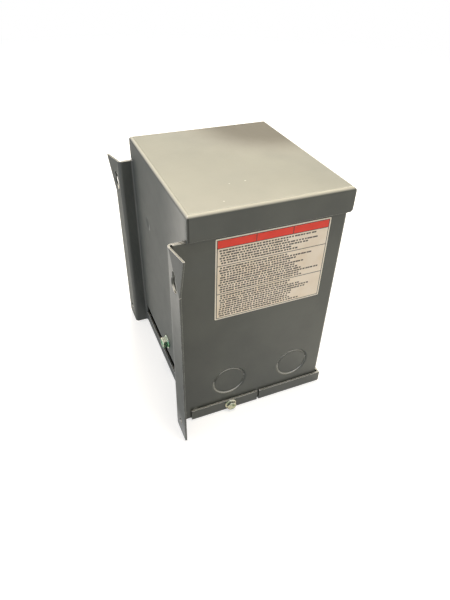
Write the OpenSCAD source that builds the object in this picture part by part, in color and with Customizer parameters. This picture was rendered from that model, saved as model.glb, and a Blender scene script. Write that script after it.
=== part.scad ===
/* [Box] */
// Width over the roof's two side lips
lid_w = 146; // [136:1:180]
// Depth from the back panel's outer face to the front lip's outer face
lid_d = 125.5; // [122:0.5:160]
// Height from the floor to the top of the roof
box_h = 198; // [190:0.5:250]
// Height of the drip lip that hangs from the roof
lip_h = 19.3; // [14:0.1:28]
// Gap between the front panel and the front drip lip
front_gap = 0.6; // [0.4:0.1:3]
// Thickness of the folded steel sheet
sheet_t = 1.5; // [1.2:0.1:1.8]
// Inner radius of every fold in the case
fold_r = 1.5; // [0.8:0.1:2.5]
// Height of the back panel's lower edge above the floor
back_edge_z = 24.3; // [20:0.1:28]
// Corner radius at the lower front ends of the side lips
lip_corner_r = 2.5; // [1:0.1:5]

/* [Wall flanges] */
// Distance from the back panel's outer face to the wall
stand_off = 12.2; // [8:0.1:25]
// Reach of each wall flange past the side panel
flange_reach = 20.2; // [17:0.1:35]
// Distance from the side panel to the middle of the mounting holes
mount_x = 9.6; // [8:0.1:12]
// Distance from the flange's top down to the keyhole's round part
keyhole_drop = 23.7; // [16:0.1:40]
// Diameter of the keyhole's round part
keyhole_d = 11.1; // [8:0.1:14]
// Width of the keyhole's slot
keyhole_slot_w = 5.6; // [4:0.1:7]
// Rise of the slot's upper arc above the round part's middle
keyhole_rise = 8.2; // [6:0.1:12]
// Height of the lower mounting hole above the floor
lower_hole_z = 15; // [8:0.5:30]
// Diameter of the lower mounting hole
lower_hole_d = 5.6; // [4:0.1:8]

/* [Bent corners] */
// Distance from the side panel to the upper end of each bent corner's crease
crease_start = 1; // [0.5:0.1:4]
// Drop of the left flange's crease along the flange's free edge
left_crease_drop = 27; // [15:0.5:40]
// How far the left flange's upper corner is bent forwards
left_corner_push = 3.4; // [1:0.1:5]
// Drop of the right flange's crease along the flange's free edge
right_crease_drop = 36; // [15:0.5:45]
// How far the right flange's upper corner is bent back
right_corner_push = 4.6; // [1:0.1:6]

/* [Back panel's dimple] */
// Distance of the pressed dimple from the middle plane, towards the right
dimple_x = 30; // [0:0.5:50]
// Drop of the dimple's middle below the lips' lower edge
dimple_drop = 40; // [20:0.5:60]
// Diameter of the dimple at the panel's face
dimple_d = 11; // [6:0.5:16]
// Depth of the dimple
dimple_depth = 0.8; // [0.4:0.1:1]

/* [Knockouts] */
// Diameter of the cut ring of each knockout
knockout_d = 27.8; // [20:0.1:30]
// Height of the knockouts' middle above the floor
knockout_z = 34.9; // [30:0.1:44]
// Depth of the rear knockouts behind the back panel's outer face
knockout_rear_y = 34.5; // [30:0.1:40]
// Distance from the front panel's outer face to the front knockouts' middle
knockout_front_gap = 29.1; // [20:0.1:36]
// Width of the sheared ring round each knockout
knockout_cut_w = 0.7; // [0.4:0.1:1.2]
// Depth of the sheared ring
knockout_cut_depth = 0.9; // [0.6:0.1:1]
// How far each knockout's slug is pushed inwards
slug_push = 0.5; // [0.2:0.1:0.8]
// Width of the rim that the punch drew in round each knockout
knockout_rim_w = 1; // [0.4:0.1:1.6]
// Height of the chamfer round each slug
slug_chamfer = 0.3; // [0.1:0.1:0.4]
// Width of each of the two ties that hold a slug
tie_w = 4; // [2:0.1:6]

/* [Bottom covers] */
// Height of the covers' flanges
cover_h = 12; // [9.5:0.1:16]
// Gap between a cover's flange and the panel that it laps
cover_gap = 0.6; // [0.2:0.1:1]
// Inner radius of the covers' folds
cover_fold_r = 0.5; // [0.3:0.1:1]
// Depth of the slit between the two covers behind the back panel's outer face
slit_y = 62.6; // [50:0.1:80]
// Width of the slit between the two covers
slit_w = 2; // [1:0.1:4]

/* [Cover screws] */
// Diameter of a screw's washer face
screw_washer_d = 10.2; // [8:0.1:10.2]
// Thickness of a screw's washer face
screw_washer_t = 1; // [0.6:0.1:1.5]
// Width across the flats of a screw's hexagon
screw_hex_w = 7.9; // [6:0.1:8]
// Height of a screw's hexagon above its washer face
screw_hex_h = 2.9; // [2:0.1:4]
// Height of the chamfer round the top of the hexagon
screw_chamfer = 0.5; // [0.2:0.1:0.8]
// Diameter of a screw's shank
screw_d = 4.8; // [3.5:0.1:5]
// Length of a screw under its head
screw_l = 10; // [7:0.1:14]
// Gap between the floor and the cover screws' washer faces
screw_floor_gap = 2; // [1:0.1:2.5]
// Depth of the side cover screws behind the back panel's outer face
cover_screw_y = 35.7; // [20:0.1:50]
// Extra diameter of the screw holes in the covers
cover_hole_play = 0.7; // [0.3:0.1:1]

/* [Ground screw] */
// Distance of the ground screw from the middle plane, towards the left
ground_screw_x = 9; // [0:0.5:20]
// Height of the ground screw above the back panel's lower edge
ground_screw_rise = 12.5; // [10:0.1:16]
// Diameter of the ground screw's washer face
ground_washer_d = 12.4; // [10:0.1:14]
// Thickness of the ground screw's washer face
ground_washer_t = 1.3; // [0.8:0.1:1.8]
// Width across the flats of the ground screw's hexagon
ground_hex_w = 9.5; // [8:0.1:11]
// Height of the ground screw's hexagon above its washer face
ground_hex_h = 4.2; // [3:0.1:5]
// Diameter of the ground screw's shank
ground_screw_d = 6.3; // [5:0.1:7]
// Length of the ground screw under its head
ground_screw_l = 12; // [11:0.1:16]

/* [Ground lug] */
// Width of the ground lug and its body
lug_w = 13; // [11:0.1:15]
// Length of the lug's tongue below the screw
lug_tongue = 7; // [6:0.1:8]
// Thickness of the lug's tongue
lug_t = 2; // [1.5:0.1:3]
// Height and depth of the lug's wire box
lug_box = 10; // [8:0.1:12]
// Diameter of the wire hole in the lug
lug_wire_d = 5.5; // [4:0.1:6]
// Diameter of the lug's clamping screw
lug_screw_d = 4.5; // [3:0.1:5]
// Width and depth of the driver slot in the clamping screw
lug_slot = 1; // [0.6:0.1:1.4]
// Width across the flats of the ground nut
nut_w = 11.1; // [9:0.1:12.5]
// Thickness of the ground nut
nut_h = 4.5; // [3:0.1:5]

/* [Label] */
// Width of the label on the side panel
label_w = 88.9; // [60:0.1:92]
// Height of the label
label_h = 69.9; // [50:0.1:90]
// Thickness of the label
label_t = 0.2; // [0.1:0.05:0.3]
// Distance from the lip's lower edge down to the label
label_drop = 2; // [0.3:0.1:10]
// How far the label's middle stands forward of the side panel's middle
label_shift = 3.1; // [0:0.1:8]
// Corner radius of the label
label_r = 0.8; // [0.3:0.1:3]

/* [Core and coil] */
// Gap between the core and each side panel
core_gap_x = 5.4; // [4:0.1:9]
// Gap between the core and the top of the compound
core_gap_top = 13.7; // [8:0.1:30]
// Height of the core's lower face above the compound's lower face
core_lift = 10; // [6:0.5:12]
// Gap between the former's flanges and the front and back panels
coil_gap_y = 7.8; // [3:0.1:14]
// Gap between the finished coil and the core's outer legs
coil_gap_x = 2; // [1:0.1:4]
// Diameter of the bolt holes in the core
core_hole_d = 7; // [6.5:0.1:8]
// Gap between the former and the core
former_play = 0.5; // [0.2:0.1:0.8]
// Wall of the coil former
former_wall = 1.6; // [1:0.1:2]
// Gap between the former's flanges and the core's outer legs
flange_play = 0.6; // [0.3:0.1:1]
// Corner radius of the former's flanges
flange_r = 2; // [1:0.5:4]
// How much thicker the secondary winding is than the primary winding
secondary_extra = 0.6; // [0:0.1:3]
// Thickness of the insulation on each winding
wrap_t = 0.8; // [0.4:0.1:1]
// Thickness of the clamp bars
bar_t = 3; // [2:0.1:4]
// Diameter of the clamp bolts
bolt_d = 6.3; // [5:0.1:6.4]
// Width across the flats of the clamp bolts' heads and nuts
bolt_hex_w = 10; // [9:0.1:12]
// Height of the clamp bolts' heads and nuts
bolt_hex_h = 4.5; // [3:0.1:5]
// Diameter of the clamp washers
washer_d = 13; // [11:0.1:16]
// Thickness of the clamp washers
washer_t = 1.4; // [1:0.1:2]

/* [Compound and leads] */
// Height of the potting compound's lower face above the floor
compound_z = 64; // [62:0.5:68]
// Diameter of the primary leads
primary_lead_d = 4; // [3:0.1:4.5]
// Diameter of the secondary leads
secondary_lead_d = 5; // [4:0.1:5.4]
// Distance between neighbouring leads
lead_pitch = 16; // [12:0.5:18]
// Drop of the leads below the compound to the middle of their level run
lead_drop = 16; // [14:0.5:20]
// Gap between the facing ends of the primary and secondary leads
lead_end_gap = 12; // [4:0.5:30]
// Inner radius of the bend in each lead
lead_bend_r = 5; // [4:0.5:8]
// Length of the bare wire at a lead's end
bare_l = 9; // [5:0.5:12]
// Share of a lead's diameter that its bare wire has
bare_share = 0.5; // [0.3:0.05:0.7]

/* [Hidden] */

// Smoothness of round shapes
$fn = 48;
// Overshoot that keeps a cut from ending flush with a face
over = 1;
// Hairline gap between the lips where they meet at a corner
seam = 0.4;
// Gap between the side panels and the lips that lap them
lip_gap = 0.1;
// Gap between the sheets' ends and the folds that they meet
end_gap = 0.3;

// Measures of the case, from the middle plane outwards
lip_in = lid_w / 2 - sheet_t;
panel_out = lip_in - lip_gap;
panel_in = panel_out - sheet_t;
web_in = panel_in - sheet_t;
flange_end = panel_out + flange_reach;
fold_out = fold_r + sheet_t;

// Places along the depth, in front of the back panel's outer face
panel_d = lid_d - sheet_t - front_gap;
front_inside = sheet_t - panel_d;
knockout_front_y = panel_d - knockout_front_gap;
label_mid_y = panel_d / 2 + label_shift;

// Heights of the case
roof_under = box_h - sheet_t;
lip_bottom = box_h - lip_h;
web_top = lip_bottom - end_gap;
panel_top = roof_under - fold_r - end_gap;
floor_top = sheet_t;
panel_bottom = floor_top + end_gap;
keyhole_z = web_top - keyhole_drop;
cover_screw_z = screw_washer_d / 2 + screw_floor_gap;

// The bent corners of the wall flanges: the crease's reach across the flange, and the bend's angle
crease_reach = flange_reach - crease_start;
left_bend = corner_bend(left_crease_drop, left_corner_push);
right_bend = corner_bend(right_crease_drop, right_corner_push);

// The back panel is cut away between its two folds, below its lower edge, and
// the rear cover's flange stands in that place, in line with the panel
slot_half = web_in - fold_r;
cover_out = panel_out + cover_gap + sheet_t;
cover_front = -panel_d - cover_gap - sheet_t;
cover_rear_half = slot_half - cover_gap;

// Heights of the ground screw and of the lug's wire hole, with the nut clear of the wire box
ground_screw_z = back_edge_z + ground_screw_rise;
lug_mid_z = ground_screw_z + nut_w / cos(30) / 2 + end_gap + lug_box / 2;

// The row's origin is the middle of the whole footprint
screw_reach = screw_washer_t + screw_hex_h;
front_end = max(lid_d, screw_reach - cover_front);
rear_end = stand_off - sheet_t + right_corner_push + sheet_t * cos(right_bend);
origin_y = (front_end - rear_end) / 2;

// The core fills the case: its middle leg is a third of its width, as in
// laminations that are punched without scrap
core_w = 2 * (panel_in - core_gap_x);
core_leg_w = core_w / 3;
yoke_h = core_leg_w / 2;
window_w = core_leg_w / 2;
core_z = compound_z + core_lift;
core_top = panel_top - core_gap_top;
window_z = core_z + yoke_h;
window_h = core_top - yoke_h - window_z;

// The windings fill the core's window, measured outwards from the former
former_x = core_leg_w / 2 + former_play;
coil_out = window_w - former_play - coil_gap_x;
primary_t = (coil_out - former_wall - 2 * wrap_t - secondary_extra) / 2;
secondary_t = primary_t + secondary_extra;
primary_in = former_wall;
insulation_in = primary_in + primary_t;
secondary_in = insulation_in + wrap_t;
wrap_in = secondary_in + secondary_t;
former_top = window_h - 2 * former_play;
coil_z = window_z + former_play + former_wall;
coil_h = former_top - 2 * former_wall;

// The stack is as thick as the coil's turns past it leave room for
core_y = (front_inside - sheet_t) / 2;
former_y = (-front_inside - sheet_t) / 2 - coil_gap_y - flange_play - coil_out;
core_stack = 2 * (former_y - former_play);

// The clamp bars, a little lower than the yokes, and the bolts through them
bar_h = yoke_h - 1;
bolt_x = (core_w - yoke_h) / 2;
clamp_half = core_stack / 2 + bar_t;

// Where the leads leave the windings, and how far each row reaches back
primary_lead_y = core_y - former_y - primary_in - primary_t / 2;
secondary_lead_y = core_y + former_y + secondary_in + secondary_t / 2;
lead_level = compound_z - lead_drop;
lead_reach = (secondary_lead_y - primary_lead_y - lead_end_gap) / 2;

steel_grey = "#7d7f7a";
zinc = "#cfc98a";

// Angle that pushes a flange's corner out by this much, about a crease with this drop
function corner_bend(drop, push) =
    asin(push * sqrt(crease_reach * crease_reach + drop * drop) / (crease_reach * drop));

module in_place() {
    translate([0, origin_y, 0]) children();
}

module both_sides() {
    children();
    mirror([1, 0, 0]) children();
}

// A quarter of a fold, seen along it, in the +X +Y quadrant before its turn
module quarter_fold(r_in, thick, turn) {
    rotate(turn) intersection() {
        difference() {
            circle(r_in + thick);
            circle(r_in);
        }
        square(r_in + thick);
    }
}

// A rectangle whose corners at one end, low Y, are rounded
module rect_low_round(half_w, y0, y1, r) {
    union() {
        translate([-half_w, y0 + r]) square([2 * half_w, y1 - y0 - r]);
        translate([r - half_w, y0]) square([2 * (half_w - r), r + over]);
        for (x = [r - half_w, half_w - r]) translate([x, y0 + r]) circle(r);
    }
}

// A rectangle centred on the origin with round corners
module rounded_rect(half_x, half_y, r) {
    union() {
        square([2 * (half_x - r), 2 * half_y], center = true);
        square([2 * half_x, 2 * (half_y - r)], center = true);
        for (x = [-1, 1], y = [-1, 1]) translate([x * (half_x - r), y * (half_y - r)]) circle(r);
    }
}

// A block with its two upper edges along X and its two along Y rounded
module roof_block(half_w, y0, y1, z0, z1, r) {
    intersection() {
        translate([0, y1, 0]) rotate([90, 0, 0]) linear_extrude(y1 - y0)
            mirror([0, 1]) rect_low_round(half_w, -z1, -z0, r);
        translate([-half_w, (y0 + y1) / 2, 0]) rotate([90, 0, 90]) linear_extrude(2 * half_w)
            mirror([0, 1]) rect_low_round((y1 - y0) / 2, -z1, -z0, r);
    }
}

// The same block upside down, with its four lower edges rounded
module tray_block(half_w, y0, y1, z0, z1, r) {
    intersection() {
        translate([0, y1, 0]) rotate([90, 0, 0]) linear_extrude(y1 - y0)
            rect_low_round(half_w, z0, z1, r);
        translate([-half_w, (y0 + y1) / 2, 0]) rotate([90, 0, 90]) linear_extrude(2 * half_w)
            rect_low_round((y1 - y0) / 2, z0, z1, r);
    }
}

// Section of the back panel, one web and one wall flange, seen from above
module flange_section() {
    union() {
        translate([-over, -sheet_t]) square([web_in - fold_r + over, sheet_t]);
        translate([web_in - fold_r, fold_r]) quarter_fold(fold_r, sheet_t, 270);
        translate([web_in, fold_r]) square([sheet_t, stand_off - sheet_t - 2 * fold_r]);
        translate([panel_in + fold_r, stand_off - sheet_t - fold_r])
            quarter_fold(fold_r, sheet_t, 90);
        translate([panel_in + fold_r, stand_off - sheet_t])
            square([flange_end - panel_in - fold_r, sheet_t]);
    }
}

// The upper free corner of a +X flange, past a crease that drops along its edge
module corner_region(drop) {
    span = sqrt(crease_reach * crease_reach + drop * drop);
    past_x = over * crease_reach / span;
    past_z = over * drop / span;
    translate([flange_end, stand_off + over, web_top]) rotate([90, 0, 0])
        linear_extrude(sheet_t + 2 * over) polygon([
            [-crease_reach - past_x, past_z], [past_x, -drop - past_z], [2 * over, -drop - past_z],
            [2 * over, 2 * over], [-crease_reach - past_x, 2 * over]]);
}

// One web and wall flange whose upper corner is bent by an angle, positive towards the wall
module bent_flange(drop, bend) {
    crease_y = bend > 0 ? stand_off - sheet_t : stand_off;
    union() {
        difference() {
            linear_extrude(web_top) flange_section();
            corner_region(drop);
        }
        translate([flange_end, crease_y, web_top - drop]) rotate(bend, [-crease_reach, 0, drop])
            translate([-flange_end, -crease_y, drop - web_top]) intersection() {
                linear_extrude(web_top) flange_section();
                corner_region(drop);
            }
    }
}

// Keyhole and lower hole of one wall flange, cut along Y, also through the bent corner
module wall_holes() {
    reach = 4 * over;
    translate([panel_out + mount_x, stand_off + reach, 0]) rotate([90, 0, 0]) {
        translate([0, keyhole_z, 0]) cylinder(d = keyhole_d, h = sheet_t + 2 * reach);
        translate([0, keyhole_z + keyhole_rise, 0])
            cylinder(d = keyhole_slot_w, h = sheet_t + 2 * reach);
        translate([-keyhole_slot_w / 2, keyhole_z, 0])
            cube([keyhole_slot_w, keyhole_rise, sheet_t + 2 * reach]);
        translate([0, lower_hole_z, 0]) cylinder(d = lower_hole_d, h = sheet_t + 2 * reach);
    }
}

// Ends the case's sheets just above the bottom covers that they stand on
module floor_cut() {
    translate([-lid_w, -lid_d - over, -over])
        cube([2 * lid_w, lid_d + stand_off + 2 * over, panel_bottom + over]);
}

// Back panel, webs, wall flanges, roof and drip lips, folded from one sheet
module back_and_roof_sheet() {
    color(steel_grey) in_place() difference() {
        union() {
            difference() {
                roof_block(lid_w / 2, -lid_d, 0, lip_bottom, box_h, fold_out);
                roof_block(lip_in, sheet_t - lid_d, -sheet_t, lip_bottom - over, roof_under, fold_r);
                both_sides() {
                    translate([lip_in - seam, -sheet_t - over, lip_bottom - over])
                        cube([seam, sheet_t + 2 * over, lip_h + over - fold_out]);
                    translate([lip_in - seam, -lid_d - over, lip_bottom - over])
                        cube([seam, sheet_t + 2 * over, lip_h + over - fold_out]);
                    lip_corner_cut();
                }
            }
            bent_flange(right_crease_drop, right_bend);
            mirror([1, 0, 0]) bent_flange(left_crease_drop, -left_bend);
            translate([fold_r - web_in, -sheet_t, web_top - over])
                cube([2 * (web_in - fold_r), sheet_t, lip_bottom - web_top + 2 * over]);
        }
        both_sides() wall_holes();
        floor_cut();
        translate([-slot_half, -sheet_t - over, -over])
            cube([2 * slot_half, sheet_t + 2 * over, back_edge_z + over]);
        translate([-ground_screw_x, over, ground_screw_z]) rotate([90, 0, 0])
            cylinder(d = ground_screw_d, h = sheet_t + 2 * over);
        translate([dimple_x, -dimple_depth, lip_bottom - dimple_drop]) rotate([-90, 0, 0])
            cylinder(d1 = dimple_d / 2, d2 = dimple_d * 1.5, h = 2 * dimple_depth);
    }
}

// Rounds the lower front corner of a side lip
module lip_corner_cut() {
    translate([lip_in - over, -lid_d, lip_bottom]) rotate([90, 0, 90])
        linear_extrude(sheet_t + 2 * over) difference() {
            translate([-over, -over]) square(lip_corner_r + over);
            translate([lip_corner_r, lip_corner_r]) circle(lip_corner_r);
        }
}

// Section of the two side panels and the front panel, seen from above
module wrap_section(y_end) {
    difference() {
        rect_low_round(panel_out, -panel_d, y_end, fold_out);
        rect_low_round(panel_in, front_inside, y_end + over, fold_r);
    }
}

// The sheared ring of one knockout on the +X side panel, with its drawn-in rim and its two ties
module knockout_cut(y) {
    ring_d = knockout_d + knockout_cut_w;
    slug_d = knockout_d - knockout_cut_w;
    translate([panel_out, y, knockout_z]) rotate([0, -90, 0]) difference() {
        union() {
            translate([0, 0, -over]) cylinder(d = ring_d, h = over + knockout_cut_depth);
            translate([0, 0, -slug_push])
                cylinder(d1 = ring_d + 4 * knockout_rim_w, d2 = ring_d, h = 2 * slug_push);
        }
        translate([0, 0, slug_push])
            cylinder(d1 = slug_d - 2 * slug_chamfer, d2 = slug_d, h = slug_chamfer);
        translate([0, 0, slug_push + slug_chamfer]) cylinder(d = slug_d, h = knockout_cut_depth);
        for (side = [-1, 1])
            translate([-tie_w / 2, side * knockout_d / 2 - tie_w / 2, slug_push])
                cube([tie_w, tie_w, knockout_cut_depth]);
    }
}

// The slug inside that ring, which stands proud of the panel's inner face
module knockout_slug(y) {
    translate([panel_in + sheet_t / 2, y, knockout_z]) rotate([0, -90, 0])
        cylinder(d = knockout_d - knockout_cut_w, h = sheet_t / 2 + slug_push);
}

// Side panels and front panel, folded from one sheet
module side_and_front_sheet() {
    color(steel_grey) in_place() difference() {
        union() {
            linear_extrude(web_top) wrap_section(stand_off - sheet_t - fold_r - end_gap);
            translate([0, 0, web_top - over]) linear_extrude(panel_top - web_top + over)
                wrap_section(-sheet_t - end_gap);
            both_sides() for (y = [knockout_rear_y, knockout_front_y]) knockout_slug(-y);
        }
        floor_cut();
        both_sides() {
            for (y = [knockout_rear_y, knockout_front_y]) knockout_cut(-y);
            translate([panel_in - over, -cover_screw_y, cover_screw_z]) rotate([0, 90, 0])
                cylinder(d = screw_d, h = sheet_t + 2 * over);
        }
        translate([0, front_inside + over, cover_screw_z]) rotate([90, 0, 0])
            cylinder(d = screw_d, h = sheet_t + 2 * over);
    }
}

// Both bottom covers before the slit parts them
module cover_shell() {
    difference() {
        tray_block(cover_out, cover_front, 0, 0, cover_h, cover_fold_r + sheet_t);
        tray_block(cover_out - sheet_t, cover_front + sheet_t, -sheet_t,
            floor_top, cover_h + over, cover_fold_r);
        both_sides() {
            translate([cover_rear_half, -sheet_t - cover_fold_r, floor_top])
                cube([cover_out - sheet_t - cover_rear_half, sheet_t + cover_fold_r + over, cover_h]);
            translate([cover_out - sheet_t - seam, cover_front - over, cover_fold_r + sheet_t])
                cube([seam, sheet_t + 2 * over, cover_h]);
        }
        both_sides() translate([panel_out, -cover_screw_y, cover_screw_z]) rotate([0, 90, 0])
            cylinder(d = screw_d + cover_hole_play, h = cover_gap + sheet_t + over);
        translate([0, -panel_d, cover_screw_z]) rotate([90, 0, 0])
            cylinder(d = screw_d + cover_hole_play, h = cover_gap + sheet_t + over);
    }
}

module rear_bottom_cover() {
    color(steel_grey) in_place() intersection() {
        cover_shell();
        translate([-lid_w, slit_w / 2 - slit_y, -over])
            cube([2 * lid_w, slit_y + over, cover_h + 2 * over]);
    }
}

module front_bottom_cover() {
    color(steel_grey) in_place() intersection() {
        cover_shell();
        translate([-lid_w, cover_front - over, -over])
            cube([2 * lid_w, -slit_w / 2 - slit_y - cover_front + over, cover_h + 2 * over]);
    }
}

// Screw with a hexagon on a washer face, its seat at z = 0 and its head up
module hex_screw(washer_d, washer_t, hex_w, hex_h, shank_d, shank_l) {
    head = washer_t + hex_h;
    union() {
        cylinder(d = washer_d, h = washer_t);
        intersection() {
            translate([0, 0, washer_t / 2])
                cylinder(d = hex_w / cos(30), h = hex_h + washer_t / 2, $fn = 6);
            union() {
                cylinder(d = washer_d, h = head - screw_chamfer);
                translate([0, 0, head - screw_chamfer]) cylinder(d1 = hex_w / cos(30),
                    d2 = hex_w - screw_chamfer, h = screw_chamfer);
            }
        }
        translate([0, 0, -shank_l]) cylinder(d = shank_d, h = shank_l + washer_t / 2);
    }
}

module cover_screw() {
    hex_screw(screw_washer_d, screw_washer_t, screw_hex_w, screw_hex_h, screw_d, screw_l);
}

module left_cover_screw() {
    color(zinc) in_place() translate([-cover_out, -cover_screw_y, cover_screw_z])
        rotate([0, -90, 0]) cover_screw();
}

module right_cover_screw() {
    color(zinc) in_place() translate([cover_out, -cover_screw_y, cover_screw_z])
        rotate([0, 90, 0]) cover_screw();
}

module front_cover_screw() {
    color(zinc) in_place() translate([0, cover_front, cover_screw_z])
        rotate([90, 0, 0]) cover_screw();
}

module ground_screw() {
    color(zinc) in_place() translate([-ground_screw_x, 0, ground_screw_z]) rotate([-90, 0, 0])
        hex_screw(ground_washer_d, ground_washer_t, ground_hex_w, ground_hex_h,
            ground_screw_d, ground_screw_l);
}

// The nut that holds the lug's tongue against the back panel
module ground_nut() {
    color("#c9b458") in_place()
        translate([-ground_screw_x, -sheet_t - lug_t, ground_screw_z])
        rotate([90, 0, 0]) difference() {
            cylinder(d = nut_w / cos(30), h = nut_h, $fn = 6);
            translate([0, 0, -over]) cylinder(d = ground_screw_d, h = nut_h + 2 * over);
        }
}

// Wire lug: a tongue on the ground screw with a wire box above it
module ground_lug() {
    lug_bottom = ground_screw_z - lug_tongue;
    color("#b9bcc0") in_place() translate([-ground_screw_x, 0, 0]) difference() {
        union() {
            translate([-lug_w / 2, -sheet_t - lug_t, lug_bottom])
                cube([lug_w, lug_t, lug_mid_z + lug_box / 2 - lug_bottom]);
            translate([-lug_w / 2, -sheet_t - lug_box, lug_mid_z - lug_box / 2])
                cube([lug_w, lug_box, lug_box]);
        }
        translate([0, -sheet_t + over, ground_screw_z]) rotate([90, 0, 0])
            cylinder(d = ground_screw_d, h = lug_t + 2 * over);
        translate([-lug_w, -sheet_t - lug_box / 2, lug_mid_z]) rotate([0, 90, 0])
            cylinder(d = lug_wire_d, h = 2 * lug_w);
        translate([0, -sheet_t - lug_box - over, lug_mid_z]) rotate([-90, 0, 0])
            cylinder(d = lug_screw_d, h = lug_box / 2 + over);
    }
}

// The lug's clamping screw, with a driver slot
module ground_lug_screw() {
    color(zinc) in_place() translate([-ground_screw_x, -sheet_t - lug_box - lug_slot, lug_mid_z])
        rotate([-90, 0, 0]) difference() {
            cylinder(d = lug_screw_d, h = lug_slot + lug_box / 2);
            translate([-lug_slot / 2, -lug_screw_d, -over])
                cube([lug_slot, 2 * lug_screw_d, lug_slot + over]);
        }
}

module side_label() {
    color("#e9dfcb") in_place()
        translate([-panel_out, -label_mid_y, lip_bottom - label_drop - label_h / 2])
        rotate([90, 0, -90]) linear_extrude(label_t)
        rounded_rect(label_w / 2, label_h / 2, label_r);
}

// Two bolt holes through a yoke, along Y
module yoke_holes(z, d) {
    both_sides() translate([bolt_x, core_y + core_stack, z]) rotate([90, 0, 0])
        cylinder(d = d, h = 2 * core_stack);
}

module core_e_laminations() {
    color("#5b6066") in_place() difference() {
        translate([-core_w / 2, core_y - core_stack / 2, window_z])
            cube([core_w, core_stack, window_h + yoke_h]);
        both_sides() translate([core_leg_w / 2, core_y - core_stack / 2 - over, window_z - over])
            cube([window_w, core_stack + 2 * over, window_h + over]);
        yoke_holes(core_top - yoke_h / 2, core_hole_d);
    }
}

module core_i_laminations() {
    color("#666b70") in_place() difference() {
        translate([-core_w / 2, core_y - core_stack / 2, core_z])
            cube([core_w, core_stack, yoke_h]);
        yoke_holes(core_z + yoke_h / 2, core_hole_d);
    }
}

// A rectangular ring round the former, from one build-up to another
module coil_ring(build_in, build_out, z, h) {
    translate([0, core_y, z]) linear_extrude(h) difference() {
        rounded_rect(former_x + build_out, former_y + build_out, build_out);
        rounded_rect(former_x + build_in, former_y + build_in, build_in);
    }
}

// Outline of the former's flanges, seen from above
module former_outline() {
    rounded_rect(core_leg_w - flange_play, former_y + coil_out + flange_play, flange_r);
}

module former_flange(z) {
    translate([0, core_y, z]) linear_extrude(former_wall) difference() {
        former_outline();
        square([2 * former_x, 2 * former_y], center = true);
    }
}

module coil_former() {
    color("#b08b5a") in_place() difference() {
        union() {
            translate([0, core_y, window_z + former_play]) linear_extrude(former_top) difference() {
                rounded_rect(former_x + former_wall, former_y + former_wall, former_wall);
                square([2 * former_x, 2 * former_y], center = true);
            }
            former_flange(window_z + former_play);
            former_flange(coil_z + coil_h);
        }
        lead_holes();
    }
}

module primary_winding() {
    color("#b06a3a") in_place() coil_ring(primary_in, insulation_in, coil_z, coil_h);
}

module winding_insulation() {
    color("#c8b083") in_place() coil_ring(insulation_in, secondary_in, coil_z, coil_h);
}

module secondary_winding() {
    color("#a85f33") in_place() coil_ring(secondary_in, wrap_in, coil_z, coil_h);
}

module outer_wrap() {
    color("#c9b98d") in_place() coil_ring(wrap_in, coil_out, coil_z, coil_h);
}

// A flat bar across a yoke, on the front (-1) or rear (1) face of the stack
module clamp_bar(face, z) {
    color("#6d7175") in_place() difference() {
        translate([-core_w / 2, core_y + face * (core_stack + bar_t) / 2 - bar_t / 2, z - bar_h / 2])
            cube([core_w, bar_t, bar_h]);
        yoke_holes(z, core_hole_d);
    }
}

module clamp_bar_top_front() {
    clamp_bar(-1, core_top - yoke_h / 2);
}

module clamp_bar_top_rear() {
    clamp_bar(1, core_top - yoke_h / 2);
}

module clamp_bar_bottom_front() {
    clamp_bar(-1, core_z + yoke_h / 2);
}

module clamp_bar_bottom_rear() {
    clamp_bar(1, core_z + yoke_h / 2);
}

// Puts its children at the four bolt axes, facing the front at the given Y
module at_bolts(y) {
    for (x = [-bolt_x, bolt_x], z = [core_z + yoke_h / 2, core_top - yoke_h / 2])
        translate([x, y, z]) rotate([90, 0, 0]) children();
}

module clamp_bolts() {
    color("#9a9ea2") in_place() at_bolts(core_y - clamp_half - washer_t) union() {
        cylinder(d = bolt_hex_w / cos(30), h = bolt_hex_h, $fn = 6);
        translate([0, 0, -2 * (clamp_half + washer_t) - bolt_hex_h])
            cylinder(d = bolt_d, h = 2 * (clamp_half + washer_t) + bolt_hex_h + over);
    }
}

module clamp_washer() {
    difference() {
        cylinder(d = washer_d, h = washer_t);
        translate([0, 0, -over]) cylinder(d = core_hole_d, h = washer_t + 2 * over);
    }
}

module clamp_washers() {
    color("#b4b8bb") in_place() {
        at_bolts(core_y - clamp_half) clamp_washer();
        at_bolts(core_y + clamp_half + washer_t) clamp_washer();
    }
}

module clamp_nuts() {
    color("#9a9ea2") in_place() at_bolts(core_y + clamp_half + washer_t + bolt_hex_h)
        difference() {
            cylinder(d = bolt_hex_w / cos(30), h = bolt_hex_h, $fn = 6);
            translate([0, 0, -over]) cylinder(d = bolt_d, h = bolt_hex_h + 2 * over);
        }
}

// The four primary and four secondary leads' places along X
function lead_x(i) = (i - 1.5) * lead_pitch;

// Straight holes for every lead, from the windings down
module lead_holes() {
    for (i = [0 : 3]) {
        translate([lead_x(i), primary_lead_y, compound_z - over])
            cylinder(d = primary_lead_d, h = coil_z - compound_z + over);
        translate([lead_x(i), secondary_lead_y, compound_z - over])
            cylinder(d = secondary_lead_d, h = coil_z - compound_z + over);
    }
}

// A lead that drops from a winding, bends towards +Y and ends in bare wire
module lead(d) {
    bend = lead_bend_r + d / 2;
    run = lead_reach - bend - bare_l;
    union() {
        translate([0, 0, bend]) cylinder(d = d, h = coil_z - lead_level - bend);
        translate([0, bend, bend]) rotate([90, 0, -90]) rotate([0, 0, 270])
            rotate_extrude(angle = 90) translate([bend, 0]) circle(d / 2);
        translate([0, bend, 0]) rotate([-90, 0, 0]) cylinder(d = d, h = run);
        translate([0, bend + run, 0]) rotate([-90, 0, 0])
            cylinder(d = bare_share * d, h = bare_l);
    }
}

module primary_lead(i) {
    color("#2f2f31") in_place() translate([lead_x(i), primary_lead_y, lead_level])
        lead(primary_lead_d);
}

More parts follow.
